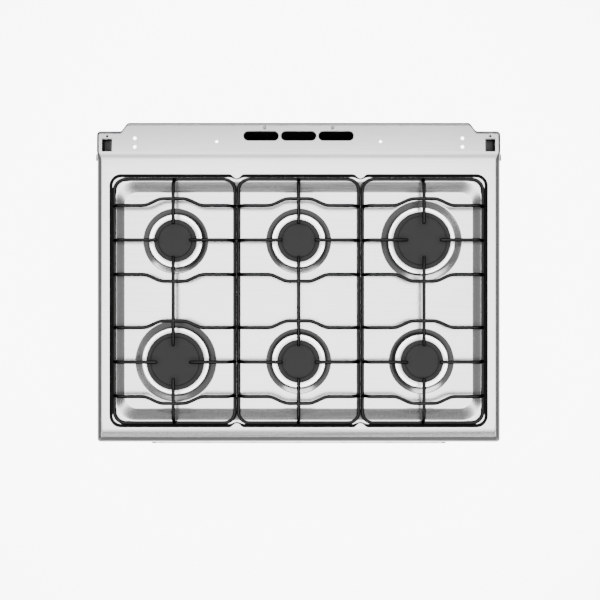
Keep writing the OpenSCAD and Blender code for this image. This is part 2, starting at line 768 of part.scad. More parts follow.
module door_handle() color("silver") placed() {
    bar_y = lip_y - handle_out;
    slab_y(round_rect(-handle_x, handle_z - bar_h / 2, handle_x, handle_z + bar_h / 2, 10),
        bar_y, bar_y + bar_t);
    both_sides() {
        rod_y(handle_post_x, handle_z, bar_y + bar_t / 2, door_face_y - 0.1, 9);
        rod_y(handle_post_x, handle_z, door_face_y - 2, door_face_y + 8, 3);
        rod_y(handle_post_x, handle_z, door_face_y + sheet + 0.2, door_face_y + sheet + 4, 6);
    }
}

module hinge_blocks() color("gray") placed() both_sides() difference() {
    box([hinge_x - 15, hinge_y - 12, door_z0 + 3], [hinge_x + 15, hinge_y + 10, hinge_z + 24]);
    box([hinge_x - 6, hinge_y - 8, 0], [hinge_x + 6, 0, hinge_z + 12]);
    rod_x(hinge_y, hinge_z, 0, far, pin_r + running);
}

module hinge_brackets() color("gray") placed() both_sides() {
    rod_x(hinge_y, hinge_z, hinge_x - 14.5, hinge_x + 14.5, pin_r);
    rod_x(hinge_y, hinge_z, hinge_x - 4, hinge_x + 4, 7);
    box([hinge_x - 4, hinge_y, hinge_z - 7], [hinge_x + 4, body_front_y + 3, hinge_z + 7]);
    box([hinge_x - 14, body_front_y + 1.4, hinge_z - 16], [hinge_x + 14, body_front_y + 4, hinge_z + 16]);
}

module door_gasket() color("black") placed() difference() {
    slab_y(round_rect(-cavity_x - 17, cavity_z - 7, cavity_x + 17, cavity_top + 17, 20),
        body_front_y - 5.6, body_front_y - 0.05);
    slab_y(round_rect(-cavity_x - 7, cavity_z, cavity_x + 7, cavity_top + 7, 12),
        body_front_y - 10, body_front_y + 10);
    // Open at the bottom, where the door's lower edge swings in
    box([-far, -far, 0], [far, far, hinge_z + 20]);
}

// ---------- drawer ----------

box_x = 330;
box_z0 = 96;
box_z1 = 235;
rail_z = 121.4;
module drawer_front() color("silver") placed() difference() {
    box([-door_x, door_face_y, drawer_z0], [door_x, body_front_y - 2, drawer_z1]);
    box([-door_x + sheet, door_face_y + sheet, drawer_z0 + sheet], [door_x - sheet, 0, drawer_z1 - sheet]);
}

module drawer_box() color("dimgray") placed() {
    difference() {
        box([-box_x, -262, box_z0], [box_x, 150, box_z1]);
        box([-box_x + sheet, -262 + sheet, box_z0 + sheet], [box_x - sheet, 150 - sheet, box_z1 + 1]);
    }
    both_sides() {
        box([box_x - 0.5, -234, rail_z + sheet + 0.3], [body_x - 8, 150, rail_z + 2 * sheet + 0.3]);
        box([200, door_face_y + sheet + 0.1, 140], [230, -261.5, 200]);
    }
}

module drawer_rails() color("gray") placed() both_sides() {
    box([box_x + 6, body_front_y + 6, rail_z], [body_x - 1.2, body_back_y - 40, rail_z + sheet]);
    box([body_x - 2.4, body_front_y + 6, rail_z - 30], [body_x - 1.2, body_back_y - 40, rail_z + sheet]);
}

// ---------- rack ----------

rack_z = rib_z[1] + 4 + wire_gap + 3;
module oven_rack() color("silver") placed() {
    x = cavity_x - 7;
    y0 = body_front_y + 37;
    y1 = cavity_back_y - 14;
    corners = round_rect(-x, y0, x, y1, 12, 3);
    wire([for (p = concat(corners, [corners[0]])) [p[0], p[1], rack_z]], 6, 6);
    for (i = [1:16]) let (wx = -x + i * 2 * x / 17)
        wire([[wx, y0, rack_z + 0.7], [wx, y1, rack_z + 0.7]], 4, 6);
    wire([[-x, (y0 + y1) / 2, rack_z - 0.8], [x, (y0 + y1) / 2, rack_z - 0.8]], 5, 6);
}

cooktop_panel();
side_panel_left();
side_panel_right();
back_panel();
base_frame();
front_frame();
control_panel();
oven_cavity();
oven_floor_plate();
oven_burner();
oven_insulation();
flue_duct();
gas_manifold();
gas_valves();
supply_tubes();
burner_heads();
igniter_electrodes();
lid_hinge_sockets();
spark_module();
door_gasket();
drawer_rails();
panel_screws();
hinge_brackets();
foot_front_left();
foot_front_right();
foot_rear_left();
foot_rear_right();
valve_stem_1();
valve_stem_2();
valve_stem_3();
valve_stem_4();
valve_stem_5();
valve_stem_6();
valve_stem_7();
knob_1();
knob_2();
knob_3();
knob_4();
knob_5();
knob_6();
knob_7();
ignition_button();
door_panel();
door_outer_glass();
door_inner_glass();
door_liner();
door_handle();
hinge_blocks();
drawer_front();
drawer_box();
oven_rack();
grate_left();
grate_middle();
grate_right();
burner_cap_rear_left();
burner_cap_rear_middle();
burner_cap_rear_right();
burner_cap_front_left();
burner_cap_front_middle();
burner_cap_front_right();
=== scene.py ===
"""Freestanding gas range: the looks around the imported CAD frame.

Blender's lengths are metres. The shapes below are worked out in millimetres, and MM turns them into metres.
"""

import json
import math

import bmesh
import bpy
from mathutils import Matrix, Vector
from mathutils.geometry import delaunay_2d_cdt


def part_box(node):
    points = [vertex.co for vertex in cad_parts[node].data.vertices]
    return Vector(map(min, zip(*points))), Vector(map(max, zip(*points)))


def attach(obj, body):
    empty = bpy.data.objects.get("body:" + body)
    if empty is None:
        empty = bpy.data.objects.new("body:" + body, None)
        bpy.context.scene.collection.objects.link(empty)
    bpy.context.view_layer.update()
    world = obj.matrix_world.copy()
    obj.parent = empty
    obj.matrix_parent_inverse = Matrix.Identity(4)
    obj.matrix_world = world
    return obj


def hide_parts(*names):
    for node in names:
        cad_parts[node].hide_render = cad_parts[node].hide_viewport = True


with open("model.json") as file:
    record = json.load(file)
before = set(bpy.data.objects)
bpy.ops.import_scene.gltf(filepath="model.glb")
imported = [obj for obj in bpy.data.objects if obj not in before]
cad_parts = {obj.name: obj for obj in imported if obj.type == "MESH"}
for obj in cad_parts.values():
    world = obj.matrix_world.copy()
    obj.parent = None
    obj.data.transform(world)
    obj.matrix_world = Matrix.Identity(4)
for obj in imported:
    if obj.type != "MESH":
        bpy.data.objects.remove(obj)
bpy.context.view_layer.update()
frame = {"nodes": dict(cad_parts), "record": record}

MM = 0.001
NODES = frame["nodes"]
SLOT_OF = {part["node"]: part["material_slot"] for part in frame["record"]["subparts"]}


# ---------- places read from the frame ----------

TAB = 2.0  # the CAD cooktop's box includes a small tab on each side edge
low, high = (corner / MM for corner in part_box("cooktop_panel"))
TOP_X = high.x - TAB
FRONT = low.y
REAR = high.y
RIM = high.z
SKIRT = high.z - low.z
MID_Y = (FRONT + REAR) / 2


def centre_of(node):
    a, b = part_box(node)
    return (a + b) / 2 / MM


CAPS = ["burner_cap_" + row + "_" + column
        for row in ("rear", "front") for column in ("left", "middle", "right")]
GRATES = ["grate_left", "grate_middle", "grate_right"]
BURNERS = {}
for cap in CAPS:
    a, b = (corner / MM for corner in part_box(cap))
    BURNERS[cap] = {"x": (a.x + b.x) / 2, "y": (a.y + b.y) / 2, "r": (b.y - a.y) / 2, "top": b.z, "low": a.z}
LARGE_CAP_R = 48  # a cap wider than this belongs to a large burner


# ---------- materials ----------

def new_material(name, colour, roughness, metallic=0.0):
    material = bpy.data.materials.new(name)
    material.use_nodes = True
    shader = material.node_tree.nodes["Principled BSDF"]
    shader.inputs["Base Color"].default_value = (*colour, 1)
    shader.inputs["Roughness"].default_value = roughness
    shader.inputs["Metallic"].default_value = metallic
    return material, material.node_tree, shader


def noise(tree, scale, stretch=(1, 1, 1), detail=4.0):
    """Noise in the object's own coordinates; stretch squeezes it along an axis."""
    place = tree.nodes.new("ShaderNodeTexCoord")
    mapping = tree.nodes.new("ShaderNodeMapping")
    mapping.inputs["Scale"].default_value = stretch
    texture = tree.nodes.new("ShaderNodeTexNoise")
    texture.inputs["Scale"].default_value = scale
    texture.inputs["Detail"].default_value = detail
    tree.links.new(place.outputs["Object"], mapping.inputs["Vector"])
    tree.links.new(mapping.outputs["Vector"], texture.inputs["Vector"])
    return texture.outputs["Fac"]


def spread(tree, factor, low_value, high_value):
    """Maps a noise factor onto a range of values."""
    ranger = tree.nodes.new("ShaderNodeMapRange")
    ranger.inputs["From Min"].default_value = 0.3
    ranger.inputs["From Max"].default_value = 0.7
    ranger.inputs["To Min"].default_value = low_value
    ranger.inputs["To Max"].default_value = high_value
    tree.links.new(factor, ranger.inputs["Value"])
    return ranger.outputs["Result"]


def tint(tree, shader, factor, dark, light):
    """Varies the base colour between two colours."""
    ramp = tree.nodes.new("ShaderNodeValToRGB")
    ramp.color_ramp.elements[0].position = 0.3
    ramp.color_ramp.elements[1].position = 0.7
    ramp.color_ramp.elements[0].color = (*dark, 1)
    ramp.color_ramp.elements[1].color = (*light, 1)
    tree.links.new(factor, ramp.inputs["Fac"])
    tree.links.new(ramp.outputs["Color"], shader.inputs["Base Color"])


def bump(tree, shader, factor, strength, distance):
    node = tree.nodes.new("ShaderNodeBump")
    node.inputs["Strength"].default_value = strength
    node.inputs["Distance"].default_value = distance
    tree.links.new(factor, node.inputs["Height"])
    tree.links.new(node.outputs["Normal"], shader.inputs["Normal"])


def grey(value):
    return (value, value, value)


def brushed(name, level, roughness, along):
    """Sheet steel with fine brush lines along one axis and a slow change of tone."""
    material, tree, shader = new_material(name, grey(level), roughness, 1.0)
    stretch = [900.0, 900.0, 900.0]
    stretch["XYZ".index(along)] = 6.0
    lines = noise(tree, 1.0, stretch, 3.0)
    clouds = noise(tree, 5.0, (1, 1, 1), 2.0)
    tree.links.new(spread(tree, lines, roughness - 0.035, roughness + 0.035), shader.inputs["Roughness"])
    tint(tree, shader, clouds, grey(level * 0.97), grey(min(1.0, level * 1.02)))
    bump(tree, shader, lines, 0.12, 0.00003)
    return material


def coated(name, colour, roughness, grain, depth, specular=0.5, lift=1.25):
    """Enamel, paint or plastic with a fine surface and slightly uneven tone."""
    material, tree, shader = new_material(name, colour, roughness)
    shader.inputs["Specular IOR Level"].default_value = specular
    fine = noise(tree, grain, (1, 1, 1), 3.0)
    patches = noise(tree, 14.0, (1, 1, 1), 3.0)
    tree.links.new(spread(tree, patches, roughness - 0.04, roughness + 0.05), shader.inputs["Roughness"])
    tint(tree, shader, patches, tuple(c / lift for c in colour), tuple(c * lift for c in colour))
    bump(tree, shader, fine, 0.25, depth)
    return material


def cast(name, level, roughness, grain=700.0, depth=0.00012):
    material, tree, shader = new_material(name, grey(level), roughness, 1.0)
    fine = noise(tree, grain, (1, 1, 1), 5.0)
    patches = noise(tree, 30.0, (1, 1, 1), 2.0)
    tree.links.new(spread(tree, patches, roughness - 0.06, roughness + 0.06), shader.inputs["Roughness"])
    tint(tree, shader, patches, grey(level * 0.9), grey(level))
    bump(tree, shader, fine, 0.3, depth)
    return material


def speckled_enamel(name, colour, speck, roughness):
    """Dark oven enamel with small pale specks."""
    material, tree, shader = new_material(name, colour, roughness)
    place = tree.nodes.new("ShaderNodeTexCoord")
    cells = tree.nodes.new("ShaderNodeTexVoronoi")
    cells.inputs["Scale"].default_value = 220.0
    tree.links.new(place.outputs["Object"], cells.inputs["Vector"])
    ramp = tree.nodes.new("ShaderNodeValToRGB")
    ramp.color_ramp.elements[0].position = 0.10
    ramp.color_ramp.elements[0].color = (*speck, 1)
    ramp.color_ramp.elements[1].position = 0.16
    ramp.color_ramp.elements[1].color = (*colour, 1)
    tree.links.new(cells.outputs["Distance"], ramp.inputs["Fac"])
    tree.links.new(ramp.outputs["Color"], shader.inputs["Base Color"])
    bump(tree, shader, noise(tree, 60.0), 0.15, 0.0003)
    return material


def zinc(name):
    """Zinc-coated sheet with faint crystals."""
    material, tree, shader = new_material(name, grey(0.55), 0.42, 1.0)
    place = tree.nodes.new("ShaderNodeTexCoord")
    cells = tree.nodes.new("ShaderNodeTexVoronoi")
    cells.inputs["Scale"].default_value = 70.0
    tree.links.new(place.outputs["Object"], cells.inputs["Vector"])
    tone = tree.nodes.new("ShaderNodeRGBToBW")
    tree.links.new(cells.outputs["Color"], tone.inputs["Color"])
    tint(tree, shader, tone.outputs["Val"], grey(0.47), grey(0.60))
    tree.links.new(spread(tree, tone.outputs["Val"], 0.38, 0.48), shader.inputs["Roughness"])
    return material


def tinted_glass(name, colour, transmission, specular=0.5):
    material, tree, shader = new_material(name, colour, 0.04)
    shader.inputs["IOR"].default_value = 1.5
    shader.inputs["Transmission Weight"].default_value = transmission
    shader.inputs["Specular IOR Level"].default_value = specular
    patches = noise(tree, 9.0)
    tint(tree, shader, patches, tuple(c * 0.92 for c in colour), colour)
    return material


def tint_grazing(material, level):
    """Dims a metal where it is seen at a shallow angle."""
    shader = material.node_tree.nodes["Principled BSDF"]
    shader.inputs["Specular Tint"].default_value = (*grey(level), 1)


MATERIALS = {
    "stainless": brushed("stainless", 0.38, 0.21, "X"),
    "handle_steel": brushed("handle_steel", 0.30, 0.2, "X"),
    "side_paint": coated("side_paint", grey(0.15), 0.38, 900.0, 0.00003, lift=1.03),
    "galvanised": zinc("galvanised"),
    "oven_enamel": speckled_enamel("oven_enamel", (0.016, 0.018, 0.022), grey(0.32), 0.18),
    "pipe_steel": coated("pipe_steel", grey(0.11), 0.45, 500.0, 0.00008),
    "tube_aluminium": cast("tube_aluminium", 0.78, 0.34, 300.0, 0.00002),
    "brass": cast("brass", 0.6, 0.32, 400.0, 0.00003),
    "wool": coated("wool", (0.48, 0.40, 0.20), 0.95, 300.0, 0.002, 0.1),
    "duct_black": coated("duct_black", grey(0.008), 0.55, 500.0, 0.00006),
    "cast_aluminium": cast("cast_aluminium", 0.58, 0.34),
    "ceramic": coated("ceramic", (0.80, 0.78, 0.73), 0.22, 300.0, 0.00003, lift=1.03),
    "moulded_black": coated("moulded_black", grey(0.012), 0.45, 900.0, 0.00004),
    "gasket": coated("gasket", grey(0.014), 0.85, 900.0, 0.0004, 0.2),
    "screw_steel": cast("screw_steel", 0.22, 0.26, 300.0, 0.00002),
    "foot_plastic": coated("foot_plastic", grey(0.012), 0.5, 900.0, 0.00005),
    "knob_plastic": coated("knob_plastic", grey(0.016), 0.32, 900.0, 0.00003),
    "dark_glass": tinted_glass("dark_glass", grey(0.02), 0.35, 0.3),
    "clear_glass": tinted_glass("clear_glass", (0.86, 0.92, 0.9), 0.95),
    "rack_chrome": cast("rack_chrome", 0.85, 0.12, 200.0, 0.00001),
    "grate_enamel": cast("grate_enamel", 0.021, 0.40, 260.0, 0.00006),
    "cap_enamel": coated("cap_enamel", grey(0.034), 0.6, 900.0, 0.00006, 0.06, 1.03),
}
tint_grazing(MATERIALS["grate_enamel"], 0)
# Painted shade: a near-black copy for the steel step wall under the grates' loops, where the wire shades it.
SEAT_SHADE = coated("seat_shade", grey(0.006), 0.5, 500.0, 0.00004, 0.3)
PRINT_INK = coated("print_ink", grey(0.02), 0.6, 900.0, 0.00002, 0.3)
POINTER_PAINT = coated("pointer_paint", grey(0.75), 0.45, 900.0, 0.00002, 0.4, 1.02)
# A glowing floor: its emission is a painted pool of light round the range.
GLOWING_FLOOR = coated("glowing_floor", grey(0.93), 0.9, 20.0, 0.0001, 0.2, 1.0)
# Painted highlight: a lighter, unbrushed copy of the cooktop steel for the bowl floors round the burners.
LIT_BOWL_STEEL = cast("lit_bowl_steel", 0.66, 0.22, 300.0, 0.00002)
# Painted light: a lighter, rougher copy of the stainless for the front nose.
LIT_NOSE_STEEL = brushed("lit_nose_steel", 0.5, 0.3, "X")
# Painted shade: a near-black copy of the stainless for the rear ledge's rolled edge and the side tabs.
SHADED_EDGE_STEEL = brushed("shaded_edge_steel", 0.03, 0.35, "X")
tint_grazing(SHADED_EDGE_STEEL, 0.3)
# Painted light: a lighter, glossier copy of the stainless for the side rolls, brushed along them.
LIT_ROLL_STEEL = brushed("lit_roll_steel", 0.5, 0.12, "Y")


FLOOR_REACH = 9.0  # metres from the middle of the floor to its edges
FLOOR_GLOW = 8.0


def glow_the_floor():
    """The floor glows, a painted pool of light: white round the range and dimmer farther out."""
    tree = GLOWING_FLOOR.node_tree
    shader = tree.nodes["Principled BSDF"]
    place = tree.nodes.new("ShaderNodeTexCoord")
    length = tree.nodes.new("ShaderNodeVectorMath")
    length.operation = "LENGTH"
    ramp = tree.nodes.new("ShaderNodeValToRGB")
    ramp.color_ramp.interpolation = "EASE"
    stops = ramp.color_ramp.elements
    stops[0].position, stops[0].color = 0.08, (1, 1, 1, 1)
    stops[1].position, stops[1].color = 0.80, (*grey(0.02), 1)
    middle = stops.new(0.28)
    middle.color = (*grey(0.21), 1)
    scale = tree.nodes.new("ShaderNodeMath")
    scale.operation = "DIVIDE"
    scale.inputs[1].default_value = FLOOR_REACH
    tree.links.new(place.outputs["Object"], length.inputs[0])
    tree.links.new(length.outputs["Value"], scale.inputs[0])
    tree.links.new(scale.outputs["Value"], ramp.inputs["Fac"])
    tree.links.new(ramp.outputs["Color"], shader.inputs["Emission Color"])
    shader.inputs["Emission Strength"].default_value = FLOOR_GLOW


glow_the_floor()


# ---------- mesh helpers ----------

def to_object(name, mesh_data, materials, body, replaced=()):
    """Links a bmesh as a finished piece that rides on a body."""
    mesh = bpy.data.meshes.new(name)
    mesh_data.to_mesh(mesh)
    mesh_data.free()
    for material in materials:
        mesh.materials.append(material)
    piece = bpy.data.objects.new(name, mesh)
    bpy.context.scene.collection.objects.link(piece)
    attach(piece, body)
    if replaced:
        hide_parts(*replaced)
    return piece


def apply_modifiers(piece):
    """Replaces a piece's mesh by its mesh with modifiers."""
    bpy.context.view_layer.update()
    graph = bpy.context.evaluated_depsgraph_get()
    piece_mesh = bpy.data.meshes.new_from_object(piece.evaluated_get(graph))
    piece.modifiers.clear()
    piece.data = piece_mesh


def smooth_by_angle(piece, degrees):
    """Smooth faces, with the edges sharper than an angle kept sharp."""
    mesh = piece.data
    mesh.polygons.foreach_set("use_smooth", [True] * len(mesh.polygons))
    work = bmesh.new()
    work.from_mesh(mesh)
    for edge in work.edges:
        edge.smooth = not (len(edge.link_faces) == 2 and edge.calc_face_angle() > math.radians(degrees))
    work.to_mesh(mesh)
    work.free()


def arc(centre, r, start, end, steps):
    return [(centre[0] + r * math.cos(math.radians(start + (end - start) * i / steps)),
             centre[1] + r * math.sin(math.radians(start + (end - start) * i / steps)))
            for i in range(steps + 1)]


def round_rect(x0, y0, x1, y1, r, steps=8):
    return (arc((x1 - r, y0 + r), r, -90, 0, steps) + arc((x1 - r, y1 - r), r, 0, 90, steps)
            + arc((x0 + r, y1 - r), r, 90, 180, steps) + arc((x0 + r, y0 + r), r, 180, 270, steps))


def smoothstep(t):
    t = max(0.0, min(1.0, t))
    return t * t * (3 - 2 * t)


def mix(a, b, t):
    return a + (b - a) * t


def inside(point, loop):
    x, y = point
    found = False
    for i, (ax, ay) in enumerate(loop):
        bx, by = loop[i - 1]
        if (ay > y) != (by > y) and x < (bx - ax) * (y - ay) / (by - ay) + ax:
            found = not found
    return found


def add_loop(work, points):
    return [work.verts.new((x * MM, y * MM, z * MM)) for x, y, z in points]


BOX_CORNERS = [(x, y, z) for z in (-1, 1) for x, y in ((-1, -1), (1, -1), (1, 1), (-1, 1))]


def add_box(work, centre, size, material=0):
    """A plain box by its centre and size."""
    corners = [work.verts.new((Vector(centre) + Vector([s * d / 2 for s, d in zip(signs, size)])) * MM)
               for signs in BOX_CORNERS]
    for ids in ((3, 2, 1, 0), (4, 5, 6, 7), (0, 1, 5, 4), (1, 2, 6, 5), (2, 3, 7, 6), (3, 0, 4, 7)):
        work.faces.new([corners[i] for i in ids]).material_index = material


def loft(work, loops, material=0):
    """Quads between loops of equal length, each given as bmesh vertices."""
    for a, b in zip(loops, loops[1:]):
        n = len(a)
        for i in range(n):
            face = work.faces.new((a[i], a[(i + 1) % n], b[(i + 1) % n], b[i]))
            face.material_index = material


def fill_flat(work, outer, holes, height, lines=()):
    """Fills a flat region between loops of (x, y) with triangles; height gives z from x and y."""
    points = []
    edges = []
    for loop in [outer] + list(holes):
        start = len(points)
        points += [Vector(p) for p in loop]
        edges += [(start + i, start + (i + 1) % len(loop)) for i in range(len(loop))]
    for line in lines:
        start = len(points)
        points += [Vector(p) for p in line]
        edges += [(start + i, start + i + 1) for i in range(len(line) - 1)]
    verts, _, faces, _, _, _ = delaunay_2d_cdt(points, edges, [], 0, 1e-7)
    made = [work.verts.new((p.x * MM, p.y * MM, height(p.x, p.y) * MM)) for p in verts]
    for corners in faces:
        middle = sum((verts[i] for i in corners), Vector((0, 0))) / len(corners)
        if inside(middle, outer) and not any(inside(middle, hole) for hole in holes):
            face = work.faces.new([made[i] for i in corners])
            if face.calc_area() > 0 and face_up(face) < 0:
                face.normal_flip()


def face_up(face):
    face.normal_update()
    return face.normal.z


# ---------- cooktop ----------

LEDGE_DROP = 0.5  # the rear ledge lies a little lower than the rim
LEDGE_TILT = 0.03  # and it falls a little towards the rear
LEDGE_Y = (MID_Y + 231.0, MID_Y + 244.0)  # where the step to the ledge starts and ends
SIDE_ROLL = 10.0
NOSE_R = 11.0
REAR_ROLL = 5.0
CORNER_R = 7.0
TURNS = (0, 12, 25, 38, 50, 62, 74, 90)  # the angles of the rings that make up the rolled edge
SHEET = 1.2
SEAT_DROP = 6.5
DECK_DROP = 14.0
BOWL_DROP = 5.8  # below the deck
SLOT_W, SLOT_D, SLOT_STEP, SLOT_Y = 64.1, 15.4, 70.5, MID_Y + 275.6
SOCKET_X = 360.3

COOKTOP_MATERIALS = [MATERIALS["stainless"], SEAT_SHADE, LIT_BOWL_STEEL, SHADED_EDGE_STEEL, LIT_ROLL_STEEL, LIT_NOSE_STEEL]
BAND, BOWL, EDGE, ROLL, NOSE = range(1, 6)  # places in the list above


def top_height(y):
    past = max(0.0, y - LEDGE_Y[1])
    return RIM - LEDGE_DROP * smoothstep((y - LEDGE_Y[0]) / (LEDGE_Y[1] - LEDGE_Y[0])) - LEDGE_TILT * past


def side_roll(y):
    """The side edges are rolled, and sharpen along the ledge."""
    return mix(SIDE_ROLL, 4.2, smoothstep((y - MID_Y - 230.0) / 18.0))


SIDE_STATIONS = [-280, -240, -160, -80, 0, 80, 160, 210, 226, 229, 231, 233.6, 236.2, 238.8, 241.4, 244,
                 246.5, 249, 256, 266]


def outer_loop(turn, flat):
    """One ring of the cooktop's rolled edge.

    turn runs from 0, upright, to 90, flat; flat is how far past the roll the ring lies, from 0 to 1.
    """
    lift = math.sin(math.radians(turn))
    reach = 1 - math.cos(math.radians(turn))
    nose_fall = 1.2 * smoothstep(1 - flat) + 0.2 * min(1.0, 2 - 2 * flat)
    in_front = NOSE_R * reach + 15.5 * flat
    drop_front = NOSE_R * (1 - lift) + nose_fall
    in_rear = REAR_ROLL * reach + 1.5 * flat
    drop_rear = REAR_ROLL * (1 - lift)
    points = []

    def side(y):
        r = side_roll(y)
        return r * reach + 1.5 * flat, r * (1 - lift)

    def corner(sign, y_edge, y_inset, y_drop, start, end, y_sign):
        in_x, drop_x = side(y_edge)
        r = max(0.6, CORNER_R - max(in_x, y_inset))
        for i in range(7):
            angle = math.radians(mix(start, end, i / 6))
            weight = smoothstep(abs(math.cos(angle)))
            x = TOP_X - in_x - r + r * abs(math.cos(angle))
            y = y_edge - y_sign * (y_inset + r) + y_sign * r * abs(math.sin(angle))
            points.append((sign * x, y, top_height(y) - mix(y_drop, drop_x, weight)))

    shoulder = REAR - 16.0
    corner(1, FRONT, in_front, drop_front, -90, 0, -1)
    for station in SIDE_STATIONS:
        y = MID_Y + station
        in_x, drop_x = side(y)
        points.append((TOP_X - in_x, y, top_height(y) - drop_x))
    corner(1, shoulder, in_rear, drop_rear, 0, 90, 1)
    for i in range(9):
        t = i / 8
        x = mix(336.5, 320.0, t)
        y = mix(shoulder, REAR, smoothstep(t)) - in_rear
        points.append((x, y, top_height(y) - drop_rear))
    for i in range(9):
        t = 1 - i / 8
        x = mix(336.5, 320.0, t)
        y = mix(shoulder, REAR, smoothstep(t)) - in_rear
        points.append((-x, y, top_height(y) - drop_rear))
    corner(-1, shoulder, in_rear, drop_rear, 90, 0, 1)
    for station in reversed(SIDE_STATIONS):
        y = MID_Y + station
        in_x, drop_x = side(y)
        points.append((-TOP_X + in_x, y, top_height(y) - drop_x))
    corner(-1, FRONT, in_front, drop_front, 0, -90, -1)
    return points


def seat_loop(grow):
    """The seat's outline, with a soft notch between neighbouring grates; grow moves it outwards."""
    x, y0, y1, r = 354.8 + grow, MID_Y - 271.2 - grow, MID_Y + 202.7 + grow, 20.6 + grow
    half, depth, centre = 14.0, 7.4, 116.4

    def notches(y, inward, order):
        points = []
        for middle in order:
            for i in range(13):
                t = -1 + i / 6
                d = depth * smoothstep(1 - abs(t)) + grow * 0.7 * smoothstep(1 - abs(t))
                along = middle + half * t * (1 if order[0] < 0 else -1)
                points.append((along, y + inward * d))
        return points

    return (notches(y0, 1, (-centre, centre)) + arc((x - r, y0 + r), r, -90, 0, 10)
            + arc((x - r, y1 - r), r, 0, 90, 10) + notches(y1, -1, (centre, -centre))
            + arc((-x + r, y1 - r), r, 90, 180, 10) + arc((-x + r, y0 + r), r, 180, 270, 10))


def fall_at(t):
    """A pressed slope: nearly straight, with rounded ends."""
    return mix(t, smoothstep(t), 0.12)


def slope_loop(s):
    """The recess's outline: 0 at the top of its slope, 1 on the deck."""
    return round_rect(-mix(345, 328, s), MID_Y + mix(-260.5, -236.8, s),
                      mix(345, 328, s), MID_Y + mix(192.3, 169.0, s), mix(36, 24, s), 12)


def circle(x, y, r, steps=96):
    return [(x + r * math.cos(2 * math.pi * i / steps), y + r * math.sin(2 * math.pi * i / steps))
            for i in range(steps)]


def slot_loop(x, y, w, d, steps=10):
    r = d / 2
    return (arc((x + w / 2 - r, y), r, -90, 90, steps) + arc((x - w / 2 + r, y), r, 90, 270, steps))


def with_height(loop, z):
    return [(x, y, z) for x, y in loop]


def floor_r(burner):
    return 62.5 if burner["r"] > LARGE_CAP_R else 50.0


def wall_width(burner):
    return 14.5 if burner["r"] > LARGE_CAP_R else 11.5


def add_rolled_edge(work):
    """The hem, the skirt and the roll above it. Returns the roll's innermost ring."""
    loops = [outer_loop(turn, 0.0) for turn in TURNS] + [outer_loop(90, 0.5), outer_loop(90, 1.0)]
    edge = loops[0]
    narrow, short = 1 - 7 / TOP_X, 1 - 7 / (REAR - MID_Y)
    hem = [(x * narrow, MID_Y + (y - MID_Y) * short, RIM - SKIRT + 0.6) for x, y, _ in edge]
    low_edge = [(x, y, RIM - SKIRT + 2.0) for x, y, _ in edge]
    bend = [(mix(x, h[0], 0.12), mix(y, h[1], 0.12), RIM - SKIRT + 0.7) for (x, y, _), h in zip(edge, hem)]
    below = [hem, bend, low_edge]
    made = [add_loop(work, loop) for loop in below + loops]
    loft(work, made)
    rolled = {vert for loop in made[len(below):len(below) + len(TURNS) - 1] for vert in loop}
    # The roll's faces take copies of the steel in other tones: painted light on the front nose and the side
    # rolls, painted shade on the rear edge.
    for face in work.faces:
        if not all(vert in rolled for vert in face.verts):
            continue
        y = face.calc_center_median().y / MM
        if y < FRONT + 12:
            face.material_index = NOSE
        elif y > MID_Y + 246:
            face.material_index = EDGE
        elif FRONT + 12 < y < MID_Y + 232:
            face.material_index = ROLL
    # The side tabs take the near-black steel: painted shade.
    for sign in (-1, 1):
        add_box(work, (sign * (TOP_X + TAB / 2 - 0.6), MID_Y + 236, RIM - 15), (TAB + 1.2, 12, 15), EDGE)
    return [(x, y) for x, y, _ in loops[-1]]


def add_rim_and_ledge(work, outline):
    """The flat top round the seat, with every opening in it and the step down to the ledge."""
    slots = [slot_loop(i * SLOT_STEP, SLOT_Y, SLOT_W + 3, SLOT_D + 3) for i in (-1, 0, 1)]
    sockets = [round_rect(s * SOCKET_X - 9.5, MID_Y + 246.2, s * SOCKET_X + 9.5, MID_Y + 269.8, 0.8, 3)
               for s in (-1, 1)]
    drilled = []
    for s in (-1, 1):
        drilled += [circle(s * 308, MID_Y + y, 3.3, 24) for y in (271.2, 255.0)]
        drilled.append(circle(s * 154, MID_Y + 265, 2.8, 24))
        drilled.append(circle(s * SOCKET_X, MID_Y + 275, 2.3, 20))
        drilled.append(circle(s * 64, MID_Y + 291, 1.8, 20))
    creases = []
    for station in (231, 233.6, 236.2, 238.8, 241.4, 244):
        y = MID_Y + station
        x = max(px for px, py in outline if abs(py - y) < 1e-6)
        creases.append([(-x, y), (x, y)])
    fill_flat(work, outline, [seat_loop(2.0)] + slots + sockets + drilled, lambda x, y: top_height(y), creases)
    z = top_height(SLOT_Y)
    for i in (-1, 0, 1):
        lip = [slot_loop(i * SLOT_STEP, SLOT_Y, SLOT_W + w, SLOT_D + w) for w in (3, 1.6, 0.5, 0)]
        drops = (0, -0.35, -1.2, -2.4)
        loft(work, [add_loop(work, with_height(p, z + d)) for p, d in zip(lip, drops)])
    # Painted shadow: a small dark plate under each screw hole, so the hole reads as shaded.
    for sign in (-1, 1):  # a dark plate below the screw hole behind each socket
        add_box(work, (sign * SOCKET_X, MID_Y + 276, RIM - 7), (9, 7, 1), BAND)


def add_seat_and_slope(work, seat_z, deck_z):
    """The grates' seat, and the slope from it down to the deck."""
    wall = [(2.0, 0), (0.6, -0.15), (-0.1, -0.7), (-0.8, -1.9), (-1.9, -4.0), (-3.1, -5.6), (-4.2, -6.4),
            (-5.2, -SEAT_DROP)]
    loops = [add_loop(work, with_height(seat_loop(g), RIM + z)) for g, z in wall]
    loft(work, loops[:2])
    # The step wall gets the near-black painted shade under the grate loops.
    loft(work, loops[1:-1], BAND)
    loft(work, loops[-2:])
    fill_flat(work, seat_loop(-5.2), [slope_loop(-0.06)], lambda x, y: seat_z)

    steps = [-0.06, 0.0] + [i / 10 for i in range(1, 10)] + [1.0, 1.12]
    fall = seat_z - deck_z
    loft(work, [add_loop(work, with_height(slope_loop(s), seat_z - fall * fall_at(max(0.0, min(1.0, s)))))
                for s in steps])


